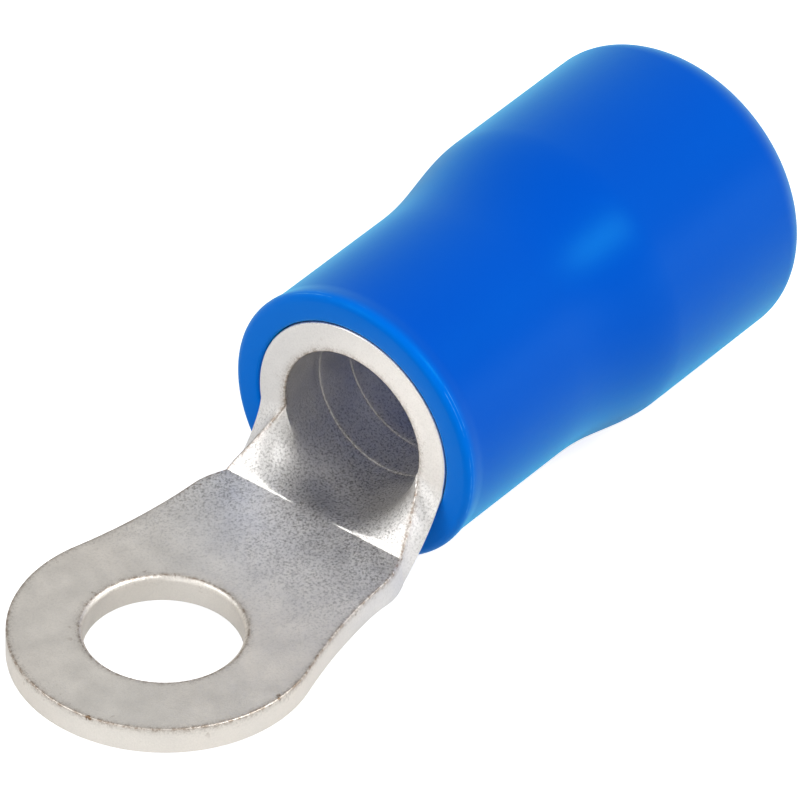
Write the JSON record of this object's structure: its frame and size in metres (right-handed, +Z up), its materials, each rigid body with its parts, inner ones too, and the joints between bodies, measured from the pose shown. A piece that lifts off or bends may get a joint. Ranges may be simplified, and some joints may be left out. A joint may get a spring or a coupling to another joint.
{
  "type": "insulated ring terminal",
  "caption": "Crimp ring terminal: flat tinned-copper ring tongue, curled neck and short wire barrel inside a blue PVC sleeve that widens at the wire entry.",
  "frame": {"origin": "centre of the stud hole on the underside of the tongue, the face that bears on the stud's seat", "axes": "+Z up along the stud hole, +X along the barrel towards the wire entry, +Y completes the frame"},
  "size_m": [0.033, 0.011, 0.011],
  "materials": {
    "tinned_copper": "electro-tinned copper, satin, lightly mottled, with brighter sheared edges",
    "blue_pvc": "soft blue PVC, satin gloss"
  },
  "bodies": {
    "root": {"terminal": "tinned_copper", "sleeve": "blue_pvc"}
  },
  "joints": []
}
